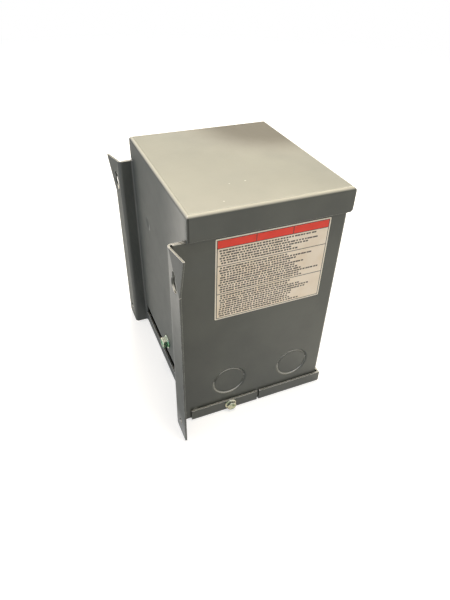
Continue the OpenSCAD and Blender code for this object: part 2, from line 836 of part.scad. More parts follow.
module secondary_lead(i) {
    color("#3a3a3d") in_place() translate([lead_x(i), secondary_lead_y, lead_level])
        mirror([0, 1, 0]) lead(secondary_lead_d);
}

module primary_lead_1() {
    primary_lead(0);
}

module primary_lead_2() {
    primary_lead(1);
}

module primary_lead_3() {
    primary_lead(2);
}

module primary_lead_4() {
    primary_lead(3);
}

module secondary_lead_1() {
    secondary_lead(0);
}

module secondary_lead_2() {
    secondary_lead(1);
}

module secondary_lead_3() {
    secondary_lead(2);
}

module secondary_lead_4() {
    secondary_lead(3);
}

// Fills the case above the wiring space, round the core and coil
module potting_compound() {
    color("#4a4744") in_place() difference() {
        translate([0, 0, compound_z]) linear_extrude(panel_top - compound_z)
            rect_low_round(panel_in, front_inside, -sheet_t, fold_r);
        translate([-core_w / 2, core_y - core_stack / 2, core_z])
            cube([core_w, core_stack, core_top - core_z]);
        translate([0, core_y, window_z + former_play]) linear_extrude(former_top)
            former_outline();
        for (z = [core_z + yoke_h / 2, core_top - yoke_h / 2])
            translate([-core_w / 2, core_y - clamp_half, z - bar_h / 2])
                cube([core_w, 2 * clamp_half, bar_h]);
        at_bolts(core_y + clamp_half + washer_t)
            cylinder(d = washer_d, h = 2 * (clamp_half + washer_t));
        at_bolts(core_y + clamp_half + washer_t + bolt_hex_h)
            cylinder(d = bolt_hex_w / cos(30), h = 2 * (clamp_half + washer_t + bolt_hex_h), $fn = 6);
        lead_holes();
    }
}

back_and_roof_sheet();
side_and_front_sheet();
rear_bottom_cover();
front_bottom_cover();
left_cover_screw();
right_cover_screw();
front_cover_screw();
ground_screw();
ground_nut();
ground_lug();
ground_lug_screw();
side_label();
core_e_laminations();
core_i_laminations();
coil_former();
primary_winding();
winding_insulation();
secondary_winding();
outer_wrap();
clamp_bar_top_front();
clamp_bar_top_rear();
clamp_bar_bottom_front();
clamp_bar_bottom_rear();
clamp_bolts();
clamp_washers();
clamp_nuts();
potting_compound();
primary_lead_1();
primary_lead_2();
primary_lead_3();
primary_lead_4();
secondary_lead_1();
secondary_lead_2();
secondary_lead_3();
secondary_lead_4();
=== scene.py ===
import math

import bmesh
import bpy
from mathutils import Euler, Matrix, Vector


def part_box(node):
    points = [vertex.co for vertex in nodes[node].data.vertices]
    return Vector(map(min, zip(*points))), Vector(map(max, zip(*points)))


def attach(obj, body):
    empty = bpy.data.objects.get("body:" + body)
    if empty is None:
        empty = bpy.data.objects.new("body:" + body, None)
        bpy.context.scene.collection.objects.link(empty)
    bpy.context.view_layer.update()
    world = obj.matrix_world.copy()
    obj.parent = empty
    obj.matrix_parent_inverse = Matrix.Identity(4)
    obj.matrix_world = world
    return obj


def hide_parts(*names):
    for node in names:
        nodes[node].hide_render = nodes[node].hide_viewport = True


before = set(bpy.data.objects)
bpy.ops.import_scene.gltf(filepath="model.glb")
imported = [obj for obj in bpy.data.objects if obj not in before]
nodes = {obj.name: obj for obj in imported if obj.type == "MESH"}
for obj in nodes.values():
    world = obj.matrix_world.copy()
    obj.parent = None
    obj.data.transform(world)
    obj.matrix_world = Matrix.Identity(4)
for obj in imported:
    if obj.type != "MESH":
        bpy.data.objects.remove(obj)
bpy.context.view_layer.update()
MM = 0.001


# Sizes in millimetres, read from the frame or from the real object

# Each screw's node, the way that its head faces and its turn about its own axis in degrees
COVER_SCREWS = (("left_cover_screw", (-1, 0, 0), 12), ("right_cover_screw", (1, 0, 0), 40),
                ("front_cover_screw", (0, -1, 0), 25))
GROUND_SCREW = (("ground_screw", (0, 1, 0), 14),)


class ScrewSize:
    """Sizes of a screw with a hexagon on a washer face."""

    def __init__(self, washer_d, washer_t, hex_w, hex_h, shank_d, shank_l, pitch):
        self.washer_d = washer_d
        self.washer_t = washer_t
        self.hex_w = hex_w
        self.hex_h = hex_h
        self.shank_d = shank_d
        self.shank_l = shank_l
        self.pitch = pitch
        self.head = washer_t + hex_h


NUMBER_10 = ScrewSize(10.2, 1.0, 7.9, 2.9, 4.8, 10.0, 0.8)
QUARTER_INCH = ScrewSize(12.4, 1.3, 9.5, 4.2, 6.3, 12.0, 1.27)

# The knockouts' middle above the floor, their depths behind the back panel's outer face, their radius
KNOCKOUT_Z = 34.9
KNOCKOUT_DEPTHS = (34.5, 94.3)
KNOCKOUT_R = 13.9
# How far the right flange's bent corner reaches past the back panel's outer face
BENT_CORNER_REACH = 16.74
# Length of the bare wire at the end of each lead
BARE_WIRE_L = 9.0

# The label's print: its border and dark outline, its red header, the heights of its divider lines
# above its lower edge, and the bars that fill each block
LABEL_CORNER_R = 0.8
LABEL_MARGIN = 0.94
OUTLINE_W = 0.56
HEADER_H = 6.4
HEADER_CELLS = 3
INK_RISE = 0.02
BLOCK_RISES = (47.7, 23.4)
ROW_PITCH = 2.05
ROW_H = 1.2
ROW_INDENT = 1.6
ROWS_DROP = 0.6
BAR_PITCH = 2.3


def low(name):
    """Lowest corner of a CAD node in millimetres."""
    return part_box(name)[0] / MM


def high(name):
    """Highest corner of a CAD node in millimetres."""
    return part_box(name)[1] / MM


# Where the knockouts and the marks on the enamel lie. The back panel's outer face is at BACK_Y.

BACK_Y = high("back_and_roof_sheet").y - BENT_CORNER_REACH
KNOCKOUT_Y = [BACK_Y - depth for depth in KNOCKOUT_DEPTHS]
ROOF_Z = high("back_and_roof_sheet").z
PAINT_NIBS = (((-37.8, BACK_Y - 55.7, ROOF_Z), 0.9), ((-61.6, BACK_Y - 29.8, ROOF_Z), 0.8),
              ((-38.4, BACK_Y - 43.4, ROOF_Z), 0.7), ((-91.6, BACK_Y + 12.2, 151.2), 0.9))
# The first pale spot is a painted highlight on the back panel's dimple; the second is a real scuff low on the
# left side
SCUFF_AND_DIMPLE_GLINT = (((27.1, BACK_Y, 136), 3.4), ((-71.4, BACK_Y - 4, 12), 2.4))
SEAM_Y = BACK_Y - 1.3
RUST_SPOT = (-73, BACK_Y, ROOF_Z)
# Middle of the roof's far corner, which gets painted shade
ROOF_SHADED_CORNER = (73, BACK_Y - 125, ROOF_Z)
DENT = (-71.4, BACK_Y - 33.9, 17.2)


# Colours and nodes


def linear(hex_colour):
    """Turns an sRGB hex colour into linear RGBA."""
    channels = [int(hex_colour[i:i + 2], 16) / 255 for i in (1, 3, 5)]
    curved = [c / 12.92 if c <= 0.04045 else ((c + 0.055) / 1.055) ** 2.4 for c in channels]
    return (*curved, 1.0)


def add_node(tree, kind, links=None, outputs=None, **settings):
    """Adds a node. links maps its inputs to sockets or values, outputs maps its outputs to sockets."""
    made = tree.nodes.new(kind)
    for name, value in settings.items():
        setattr(made, name, value)
    for key, value in (links or {}).items():
        if isinstance(value, bpy.types.NodeSocket):
            tree.links.new(value, made.inputs[key])
        else:
            made.inputs[key].default_value = value
    for key, socket in (outputs or {}).items():
        tree.links.new(made.outputs[key], socket)
    return made


def new_material(name):
    """A material with one Principled BSDF, and its tree."""
    material = bpy.data.materials.new(name)
    material.use_nodes = True
    tree = material.node_tree
    shader = tree.nodes["Principled BSDF"]
    return material, tree, shader


def millimetres(tree, stretch=(1, 1, 1)):
    """Object coordinates in millimetres, divided by stretch."""
    place = add_node(tree, "ShaderNodeTexCoord")
    scale = [1 / MM / s for s in stretch]
    return add_node(tree, "ShaderNodeMapping", {"Vector": place.outputs["Object"], "Scale": scale}).outputs[0]


def noise(tree, place, size, detail=2.0, roughness=0.5):
    """Noise whose features measure about size millimetres."""
    return add_node(tree, "ShaderNodeTexNoise", {
        "Vector": place, "Scale": 1 / size, "Detail": detail, "Roughness": roughness}).outputs["Fac"]


def spread(tree, value, low_in, high_in, low_out=0.0, high_out=1.0, smooth=True):
    """Maps a range of a value onto another, held at its ends."""
    return add_node(tree, "ShaderNodeMapRange", {
        "Value": value, "From Min": low_in, "From Max": high_in, "To Min": low_out, "To Max": high_out},
        interpolation_type="SMOOTHSTEP" if smooth else "LINEAR").outputs["Result"]


def math_node(tree, operation, first, second=0.0):
    return add_node(tree, "ShaderNodeMath", {0: first, 1: second}, operation=operation).outputs[0]


def blend_colour(tree, factor, first, second):
    """Mixes two colours, each a hex text or a socket."""
    values = [linear(c) if isinstance(c, str) else c for c in (first, second)]
    mixed = add_node(tree, "ShaderNodeMix", {"Factor": factor, 6: values[0], 7: values[1]}, data_type="RGBA")
    return mixed.outputs[2]


def relief(tree, height, distance, strength=1.0, normal=None):
    """Bump of the given height in millimetres."""
    links = {"Height": height, "Distance": distance * MM, "Strength": strength}
    if normal is not None:
        links["Normal"] = normal
    return add_node(tree, "ShaderNodeBump", links).outputs["Normal"]


def near_point(tree, place, point, radius):
    """1 at a point given in millimetres, falling to 0 at the radius from it."""
    offset = add_node(tree, "ShaderNodeVectorMath", {0: place, 1: point}, operation="SUBTRACT").outputs[0]
    far = add_node(tree, "ShaderNodeVectorMath", {0: offset}, operation="LENGTH").outputs["Value"]
    return spread(tree, far, 0.4 * radius, radius, 1, 0)


def marks(tree, place, spots):
    """The strongest of several near_point masks."""
    masks = [near_point(tree, place, point, radius) for point, radius in spots]
    total = masks[0]
    for mask in masks[1:]:
        total = math_node(tree, "MAXIMUM", total, mask)
    return total


def seen_directly(tree):
    """1 for the rays that show a thing itself: from the camera, or by way of gloss or clear glass."""
    kind = add_node(tree, "ShaderNodeLightPath").outputs
    seen = math_node(tree, "MAXIMUM", kind["Is Camera Ray"], kind["Is Glossy Ray"])
    return math_node(tree, "MAXIMUM", seen, kind["Is Transmission Ray"])


def add_object(name, data):
    """A new object at the origin, in the scene."""
    made = bpy.data.objects.new(name, data)
    bpy.context.scene.collection.objects.link(made)
    return made


def face_direction(tree):
    """X, Y and Z of the surface's own direction."""
    shape = add_node(tree, "ShaderNodeNewGeometry")
    return add_node(tree, "ShaderNodeSeparateXYZ", {"Vector": shape.outputs["True Normal"]})


# Finishes


def knockout_furrow(tree, place):
    """The soft furrow that the punch leaves around each knockout of the side panels, 0 at its
    bottom, and the stretch of it, low at the back, that gets a painted highlight, pale as if lit from above."""
    parts = add_node(tree, "ShaderNodeSeparateXYZ", {"Vector": place}).outputs
    deepest, painted_arc_highlight = None, None
    rise = math_node(tree, "SUBTRACT", parts["Z"], KNOCKOUT_Z)
    for middle in KNOCKOUT_Y:
        along = math_node(tree, "SUBTRACT", parts["Y"], middle)
        flat = add_node(tree, "ShaderNodeCombineXYZ", {0: along, 1: rise})
        away = add_node(tree, "ShaderNodeVectorMath", {0: flat.outputs[0]}, operation="LENGTH").outputs[1]
        off = math_node(tree, "ABSOLUTE", math_node(tree, "SUBTRACT", away, KNOCKOUT_R))
        furrow = spread(tree, off, 0.2, 2.0, 0, 1)
        low_back = math_node(tree, "SUBTRACT", math_node(tree, "MULTIPLY", along, 0.55), rise)
        pale = math_node(tree, "MULTIPLY", spread(tree, off, 0.3, 1.0, 1, 0), spread(tree, low_back, 2, 10))
        deepest = furrow if deepest is None else math_node(tree, "MINIMUM", deepest, furrow)
        painted_arc_highlight = pale if painted_arc_highlight is None else math_node(tree, "MAXIMUM", painted_arc_highlight, pale)
    return deepest, painted_arc_highlight


def case_enamel():
    """Baked semi-gloss enamel on sheet steel, sprayed: a satin grey with orange peel, a soft
    window sheen at low angles, a little dust on top that also paints the tops lighter as if lit, worn
    paler paint along the cut edges, and painted light: highlights on the upward edges, the folds
    and the knockout furrows, shade at the roof's far corner and a glint at the back's dimple."""
    material, tree, shader = new_material("case_enamel")
    place = millimetres(tree)
    mottle = noise(tree, place, 38, 3)
    base = blend_colour(tree, spread(tree, mottle, 0.3, 0.7), "#4F524D", "#585B55")
    grime = noise(tree, place, 9, 4, 0.6)
    base = blend_colour(tree, spread(tree, grime, 0.55, 0.8, 0, 0.12), base, "#4B4D4A")

    facing = face_direction(tree)
    upward = facing.outputs["Z"]
    # Dust film on the upward faces. It also paints the tops paler and warmer, as if lit from above, so it is
    # partly painted light
    film = spread(tree, noise(tree, place, 60, 2), 0.3, 0.7, 0.26, 0.36)
    dust_and_top_light = math_node(tree, "MULTIPLY", spread(tree, upward, 0.6, 0.98), film)
    base = blend_colour(tree, dust_and_top_light, base, "#ABA892")
    # Painted highlight: the folds between the roof and its lips are drawn paler, where they would catch the
    # light from above
    not_flat = spread(tree, upward, 0.93, 0.99, 1, 0)
    painted_fold_highlight = math_node(tree, "MULTIPLY", spread(tree, upward, 0.3, 0.75), not_flat)
    base = blend_colour(tree, math_node(tree, "MULTIPLY", painted_fold_highlight, 0.85), base, "#C9C7B8")
    # Painted shade: the roof's far corner is darkened where the lamps' sheen falls off; the same mask also
    # makes it rougher
    far_corner = near_point(tree, place, ROOF_SHADED_CORNER, 95)
    dull_and_shaded_corner = math_node(tree, "MULTIPLY", far_corner, spread(tree, upward, 0.6, 0.98))
    base = blend_colour(tree, math_node(tree, "MULTIPLY", dull_and_shaded_corner, 0.75), base, "#413B31")

    nib = marks(tree, place, PAINT_NIBS)
    base = blend_colour(tree, math_node(tree, "MULTIPLY", nib, 0.5), base, "#D8D5C8")
    # Pale spots: a painted highlight at the dimple in the back panel, and a real scuff low on the left side
    scuff_and_glint = math_node(tree, "MULTIPLY", marks(tree, place, SCUFF_AND_DIMPLE_GLINT), spread(tree, grime, 0.3, 0.6, 0.5, 1))
    base = blend_colour(tree, math_node(tree, "MULTIPLY", scuff_and_glint, 0.6), base, "#B9BBB4")
    rust = near_point(tree, place, RUST_SPOT, 2.2)
    base = blend_colour(tree, math_node(tree, "MULTIPLY", rust, 0.8), base, "#4A3526")
    furrow, painted_arc_highlight = knockout_furrow(tree, place)
    # Painted highlight: the lower back arc of each knockout's furrow is drawn pale, as if it caught the light
    base = blend_colour(tree, math_node(tree, "MULTIPLY", painted_arc_highlight, 0.75), base, "#C4C5BC")
    parts = add_node(tree, "ShaderNodeSeparateXYZ", {"Vector": place}).outputs
    # The dark seam at the rear of each side lip
    off_seam = math_node(tree, "ABSOLUTE", math_node(tree, "SUBTRACT", parts["Y"], SEAM_Y))
    outer = spread(tree, math_node(tree, "ABSOLUTE", parts["X"]), 72.6, 72.8)
    on_lip = math_node(tree, "MULTIPLY", outer, spread(tree, parts["Z"], 178, 178.4))
    seam = math_node(tree, "MULTIPLY", spread(tree, off_seam, 0.35, 0.75, 1, 0), on_lip)
    base = blend_colour(tree, math_node(tree, "MULTIPLY", seam, 0.85), base, "#242522")

    rounded = add_node(tree, "ShaderNodeBevel", {"Radius": 0.7 * MM}, samples=6).outputs["Normal"]
    flat = add_node(tree, "ShaderNodeNewGeometry").outputs["Normal"]
    same = add_node(tree, "ShaderNodeVectorMath", {0: rounded, 1: flat}, operation="DOT_PRODUCT").outputs[1]
    edge = spread(tree, same, 0.985, 0.86, 0, 1)
    worn = math_node(tree, "MULTIPLY", edge, spread(tree, grime, 0.35, 0.6, 0.25, 0.9))
    # Painted highlight: the upward-facing edges are drawn near white, as if they caught the light from above;
    # the worn edges are real wear
    near_edge = spread(tree, same, 0.985, 0.93, 0, 1)
    painted_edge_highlight = math_node(tree, "MULTIPLY", near_edge, spread(tree, upward, 0.45, 0.8))
    base = blend_colour(tree, worn, base, "#A3A59D")
    base = blend_colour(tree, painted_edge_highlight, base, "#FDFDFF")

    # Real orange peel is about 2 mm across; it is drawn half as coarse again, to show in the render
    peel = noise(tree, place, 3.0, 2)
    wave = noise(tree, place, 70, 1)
    bumped = relief(tree, peel, 0.10, 0.4, rounded)
    bumped = relief(tree, wave, 1.2, 0.5, bumped)
    bumped = relief(tree, nib, 0.10, 0.6, bumped)
    bumped = relief(tree, furrow, 0.6, 1.0, bumped)
    bumped = relief(tree, near_point(tree, place, DENT, 7), 0.8, 0.7, bumped)
    tree.links.new(base, shader.inputs["Base Color"])
    # The back is chalkier than the rest, most away from the left flange and low down
    low_down = math_node(tree, "MULTIPLY", spread(tree, parts["Z"], 60, 185, 0.32, 0),
                         spread(tree, parts["Z"], 8, 34))
    on_flange = math_node(tree, "MULTIPLY", spread(tree, parts["X"], -74, -70, 1, 0), low_down)
    patch = math_node(tree, "MAXIMUM", spread(tree, parts["X"], -72, -10, 0, 0.30), on_flange)
    chalky = math_node(tree, "MULTIPLY", spread(tree, facing.outputs["Y"], 0.6, 0.95), patch)
    rough = math_node(tree, "ADD", spread(tree, grime, 0.2, 0.8, 0.30, 0.35), chalky)
    rough = math_node(tree, "ADD", rough, math_node(tree, "MULTIPLY", dull_and_shaded_corner, 0.34))
    tree.links.new(rough, shader.inputs["Roughness"])
    tree.links.new(bumped, shader.inputs["Normal"])
    shader.inputs["IOR"].default_value = 1.48
    shader.inputs["Specular IOR Level"].default_value = 0.35
    return material


def plated_screw(name, stops, dirt_colour):
    """Steel screws, zinc plated with a tinted passivation: bright metal whose tint drifts over the
    given stops, patches of dirt, and a painted highlight on the upward-facing sides."""
    material, tree, shader = new_material(name)
    place = millimetres(tree)
    drift = noise(tree, place, 4.5, 1)
    tint = add_node(tree, "ShaderNodeValToRGB", {"Fac": drift})
    ramp = tint.color_ramp
    while len(ramp.elements) < len(stops):
        ramp.elements.new(0.5)
    for element, (position, colour) in zip(ramp.elements, stops):
        element.position = position
        element.color = linear(colour)
    fine = noise(tree, place, 0.6, 3)
    dirt = spread(tree, noise(tree, place, 1.7, 3), 0.55, 0.75, 0, 0.5)
    colour = blend_colour(tree, dirt, tint.outputs["Color"], dirt_colour)
    # Painted highlight: the upward-facing sides of the screws are drawn paler, as if lit from above
    upward = spread(tree, face_direction(tree).outputs["Z"], 0.35, 0.8, 0, 0.75)
    colour = blend_colour(tree, upward, colour, "#E2E4D6")
    tree.links.new(colour, shader.inputs["Base Color"])
    tree.links.new(spread(tree, fine, 0.3, 0.7, 0.22, 0.40), shader.inputs["Roughness"])
    tree.links.new(relief(tree, fine, 0.05, 0.3), shader.inputs["Normal"])
    shader.inputs["Metallic"].default_value = 1.0
    return material


def printed_sheet(name, colour, shade, roughness):
    """Vinyl sticker film, screen printed: flat colour, a faint sheen and a little yellowing."""
    material, tree, shader = new_material(name)
    place = millimetres(tree)
    age = noise(tree, place, 14, 4, 0.6)
    speck = noise(tree, place, 0.9, 2)
    base = blend_colour(tree, spread(tree, age, 0.35, 0.75, 0, 0.6), colour, shade)
    base = blend_colour(tree, spread(tree, speck, 0.62, 0.75, 0, 0.3), base, shade)
    tree.links.new(base, shader.inputs["Base Color"])
    tree.links.new(spread(tree, age, 0.2, 0.8, roughness, roughness + 0.12), shader.inputs["Roughness"])
    tree.links.new(relief(tree, noise(tree, place, 6, 2), 0.08, 0.3), shader.inputs["Normal"])
    return material


def cast_lug_metal():
    """Tin-plated aluminium, extruded and sawn: pale grey metal with fine saw lines."""
    material, tree, shader = new_material("tinned_aluminium")
    lines = noise(tree, millimetres(tree, (6, 1, 1)), 0.25, 2)
    tree.links.new(blend_colour(tree, lines, "#A9ABAC", "#C9CBCC"), shader.inputs["Base Color"])
    tree.links.new(spread(tree, lines, 0.2, 0.8, 0.30, 0.48), shader.inputs["Roughness"])
    tree.links.new(relief(tree, lines, 0.05, 0.4), shader.inputs["Normal"])
    shader.inputs["Metallic"].default_value = 1.0
    return material


def silicon_steel():
    """Punched silicon steel sheets, oxide blue: fine lines where the sheets meet. Real sheets are
    0.35 mm thick, and the lines are drawn 1.4 mm apart so that they show."""
    material, tree, shader = new_material("silicon_steel")
    place = millimetres(tree)
    lines = add_node(tree, "ShaderNodeTexWave", {"Vector": place, "Scale": 0.224, "Distortion": 0.4},
                     bands_direction="Y").outputs["Fac"]
    blotch = noise(tree, place, 6, 3)
    sheet = blend_colour(tree, blotch, "#3E444B", "#5C6269")
    sheet = blend_colour(tree, spread(tree, lines, 0.1, 0.35, 0.8, 0), sheet, "#1D1F22")
    tree.links.new(sheet, shader.inputs["Base Color"])
    tree.links.new(relief(tree, lines, 0.15, 0.6), shader.inputs["Normal"])
    shader.inputs["Metallic"].default_value = 0.8
    shader.inputs["Roughness"].default_value = 0.5
    return material


def wound_wire(name, pitch, colour, dark):
    """Enamelled copper wire wound in level turns: glossy amber copper bands along the height."""
    material, tree, shader = new_material(name)
    place = millimetres(tree)
    turns = add_node(tree, "ShaderNodeTexWave", {"Vector": place, "Scale": 0.314 / pitch, "Distortion": 0.2},
                     bands_direction="Z").outputs["Fac"]
    base = blend_colour(tree, noise(tree, place, 5, 2), colour, dark)
    base = blend_colour(tree, spread(tree, turns, 0.05, 0.3, 0.7, 0), base, "#2A140A")
    tree.links.new(base, shader.inputs["Base Color"])
    tree.links.new(relief(tree, turns, 0.4 * pitch, 0.8), shader.inputs["Normal"])
    shader.inputs["Metallic"].default_value = 0.9
    shader.inputs["Roughness"].default_value = 0.28
    shader.inputs["Coat Weight"].default_value = 0.6
    return material


def layered_paper(name, colour, dark):
    """Insulating paper and pressboard: matte fibre with long faint streaks."""
    material, tree, shader = new_material(name)
    fibre = noise(tree, millimetres(tree, (8, 8, 1)), 0.8, 4, 0.7)
    tree.links.new(blend_colour(tree, fibre, colour, dark), shader.inputs["Base Color"])
    tree.links.new(relief(tree, fibre, 0.08, 0.5), shader.inputs["Normal"])
    shader.inputs["Roughness"].default_value = 0.75
    return material


def plated_steel():
    """Zinc-plated clamp steel: dull silver with a faint spangle."""
    material, tree, shader = new_material("plated_steel")
    spangle = noise(tree, millimetres(tree), 2.5, 3)
    tree.links.new(blend_colour(tree, spangle, "#8B8F92", "#B1B4B6"), shader.inputs["Base Color"])
    tree.links.new(spread(tree, spangle, 0.2, 0.8, 0.34, 0.5), shader.inputs["Roughness"])
    shader.inputs["Metallic"].default_value = 1.0
    return material


def sand_filled_resin():
    """Potting compound of epoxy and sand: near black and grainy, with a dull shine."""
    material, tree, shader = new_material("sand_filled_resin")
    place = millimetres(tree)
    grain = noise(tree, place, 0.9, 4, 0.7)
    base = blend_colour(tree, spread(tree, grain, 0.4, 0.7), "#26241F", "#4C463B")
    tree.links.new(base, shader.inputs["Base Color"])
    tree.links.new(relief(tree, grain, 0.3, 0.6), shader.inputs["Normal"])
    shader.inputs["Roughness"].default_value = 0.55
    return material


def lead_sleeve(name, bare_from, bare_sign):
    """Rubber-insulated lead wire: a soft black sleeve, and bright copper strands where it is
    stripped, past bare_from along Y."""
    material, tree, shader = new_material(name)
    place = millimetres(tree)
    along = add_node(tree, "ShaderNodeSeparateXYZ", {"Vector": place}).outputs["Y"]
    beyond = math_node(tree, "MULTIPLY", math_node(tree, "SUBTRACT", along, bare_from), bare_sign)
    bare = spread(tree, beyond, -0.05, 0.05, smooth=False)
    strand = noise(tree, millimetres(tree, (1, 12, 1)), 0.5, 2)
    sleeve = blend_colour(tree, noise(tree, place, 4, 2), "#1B1B1D", "#2A2A2C")
    copper = blend_colour(tree, strand, "#A85A34", "#E09A6C")
    tree.links.new(blend_colour(tree, bare, sleeve, copper), shader.inputs["Base Color"])
    tree.links.new(bare, shader.inputs["Metallic"])
    tree.links.new(spread(tree, bare, 0, 1, 0.5, 0.3), shader.inputs["Roughness"])
    tree.links.new(relief(tree, strand, 0.1, 0.4), shader.inputs["Normal"])
    return material


def wear(material, *names):
    """Gives CAD nodes a finish."""
    for name in names:
        slots = nodes[name].data.materials
        slots.clear()
        slots.append(material)


def finish_piece(piece, replaced):
    """Puts a finished piece on the one body that the row has, in the place of CAD nodes."""
    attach(piece, "root")
    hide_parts(*replaced)


def piece_from(name, mesh_builder, materials):
    """A new object at the origin from a bmesh."""
    mesh = bpy.data.meshes.new(name)
    mesh_builder.to_mesh(mesh)
    mesh_builder.free()
    for material in materials:
        mesh.materials.append(material)
    return add_object(name, mesh)


# Screws


def screw_rings(size):
    """The screw's outline as rings of (reach, height) functions of the angle, from its tip up."""
    top = size.head
    flat = size.hex_w / 2
    washer_r = size.washer_d / 2
    corner_cut = 0.6
    dish_r = 0.68 * flat
    dish_deep = 0.45

    def hex_reach(angle):
        turned = (angle + math.pi / 6) % (math.pi / 3) - math.pi / 6
        return flat / math.cos(turned)

    def level(reach, height):
        return lambda angle: (reach, height)

    def hexagon(inset, height):
        return lambda angle: (hex_reach(angle) - inset, height)

    def crown(angle):
        reach = hex_reach(angle)
        drop = corner_cut * (reach - flat) / (flat / math.cos(math.pi / 6) - flat)
        return (reach, top - 0.25 - drop)

    def thread(height):
        def ring(angle):
            phase = (height / size.pitch - angle / (2 * math.pi)) % 1
            depth = 0.52 * size.pitch * abs(2 * phase - 1)
            taper = min(1.0, (height + size.shank_l) / 1.2 + 0.55)
            return ((size.shank_d / 2 - depth) * taper, height)
        return ring

    steps_per_turn = 6
    count = int(size.shank_l / size.pitch * steps_per_turn)
    rings = [thread(-size.shank_l + size.shank_l * i / count) for i in range(count)]
    rings += [level(size.shank_d / 2, 0.0), level(washer_r - 0.15, 0.0), level(washer_r, 0.15)]
    rings += [level(washer_r, size.washer_t * 0.55), level(washer_r - 0.35, size.washer_t * 0.85)]
    rings += [hexagon(-0.35, size.washer_t * 0.98), hexagon(0.0, size.washer_t + 0.3), crown]
    rings += [level(flat - 0.25, top - 0.05), level(flat - 0.6, top)]
    rings += [level(dish_r + 0.25, top), level(dish_r - 0.1, top - dish_deep * 0.5)]
    rings += [level(dish_r - 0.6, top - dish_deep)]
    return rings


def screw_mesh(size, material):
    """A screw with an indented hexagon on a washer face, its seat at z = 0."""
    sides = 48
    build = bmesh.new()
    rows = []
    for ring in screw_rings(size):
        row = []
        for i in range(sides):
            angle = 2 * math.pi * i / sides
            reach, height = ring(angle)
            corner = Vector((reach * math.cos(angle), reach * math.sin(angle), height))
            row.append(build.verts.new(corner * MM))
        rows.append(row)
    for lower, upper in zip(rows, rows[1:]):
        for i in range(sides):
            j = (i + 1) % sides
            build.faces.new((lower[i], lower[j], upper[j], upper[i]))
    build.faces.new(list(reversed(rows[0])))
    build.faces.new(rows[-1])
    bmesh.ops.recalc_face_normals(build, faces=build.faces)
    return piece_from("screw_pattern", build, [material])


def seats_tree(material):
    """A node tree that sets one screw on each seat, turned by the seat's own attribute."""
    tree = bpy.data.node_groups.new("screws_on_seats", "GeometryNodeTree")
    tree.interface.new_socket("Seats", in_out="INPUT", socket_type="NodeSocketGeometry")
    tree.interface.new_socket("Screw", in_out="INPUT", socket_type="NodeSocketObject")
    tree.interface.new_socket("Screws", in_out="OUTPUT", socket_type="NodeSocketGeometry")
    source = add_node(tree, "NodeGroupInput")
    screw = add_node(tree, "GeometryNodeObjectInfo", {"Object": source.outputs["Screw"]})
    turn = add_node(tree, "GeometryNodeInputNamedAttribute", {"Name": "turn"}, data_type="FLOAT_VECTOR")
    rotation = add_node(tree, "FunctionNodeEulerToRotation", {0: turn.outputs["Attribute"]})
    spots = add_node(tree, "GeometryNodeInstanceOnPoints", {
        "Points": source.outputs["Seats"], "Instance": screw.outputs["Geometry"],
        "Rotation": rotation.outputs[0]})
    real = add_node(tree, "GeometryNodeRealizeInstances", {"Geometry": spots.outputs[0]})
    coated = add_node(tree, "GeometryNodeSetMaterial", {"Geometry": real.outputs[0], "Material": material})
    add_node(tree, "NodeGroupOutput", {0: coated.outputs[0]})
    return tree


def input_name(tree, name):
    """Identifier of a node tree's input."""
    return next(i.identifier for i in tree.interface.items_tree if i.name == name and i.in_out == "INPUT")


def settled(carrier, name, tree, values):
    """Runs a node tree on an object and keeps its result as a plain mesh object."""
    modifier = carrier.modifiers.new("shape", "NODES")
    modifier.node_group = tree
    for key, value in values.items():
        modifier[input_name(tree, key)] = value
    bpy.context.view_layer.update()
    evaluated = carrier.evaluated_get(bpy.context.evaluated_depsgraph_get())
    mesh = bpy.data.meshes.new_from_object(evaluated)
    mesh.name = name
    carrier.modifiers.clear()
    bpy.data.objects.remove(carrier)
    return add_object(name, mesh)


def screw_seat(name, outward, head):
    """Middle of a screw's washer face on its seat, from the CAD screw's box."""
    lowest, highest = low(name), high(name)
    middle = (lowest + highest) / 2
    for axis in range(3):
        if outward[axis] > 0:
            middle[axis] = highest[axis] - head
        elif outward[axis] < 0:
            middle[axis] = lowest[axis] + head
    return middle * MM


def make_screws(name, size, screws, zinc):
    """One piece with a screw of the given size in the place of each CAD screw."""
    pattern = screw_mesh(size, zinc)
    mesh = bpy.data.meshes.new("screw_seats")
    mesh.from_pydata([screw_seat(node, outward, size.head) for node, outward, _ in screws], [], [])
    turns = mesh.attributes.new("turn", "FLOAT_VECTOR", "POINT")
    for i, (_, outward, degrees) in enumerate(screws):
        standing = Vector(outward).to_track_quat("Z", "Y").to_matrix()
        turned = standing @ Matrix.Rotation(math.radians(degrees), 3, "Z")
        turns.data[i].vector = turned.to_euler()
    carrier = add_object("screw_seats", mesh)
    made = settled(carrier, name, seats_tree(zinc), {"Screw": pattern})
    bpy.data.objects.remove(pattern)
    smooth_by_angle(made, 28)
    finish_piece(made, [node for node, _, _ in screws])


def smooth_by_angle(piece, degrees):
    """Smooth shading, with the edges that are sharper than the angle kept sharp."""
    build = bmesh.new()
    build.from_mesh(piece.data)
    for face in build.faces:
        face.smooth = True
    for edge in build.edges:
        edge.smooth = len(edge.link_faces) == 2 and edge.calc_face_angle(0) < math.radians(degrees)
    build.to_mesh(piece.data)
    build.free()


# Label


def rounded_outline(half_w, half_h, radius, steps=6):
    """Corner points of a rounded rectangle about the origin."""
    points = []
    for quarter, (sx, sy) in enumerate(((1, 1), (-1, 1), (-1, -1), (1, -1))):
        for i in range(steps + 1):
            angle = math.pi / 2 * (quarter + i / steps)
            points.append((sx * (half_w - radius) + radius * math.cos(angle),
                           sy * (half_h - radius) + radius * math.sin(angle)))
    return points


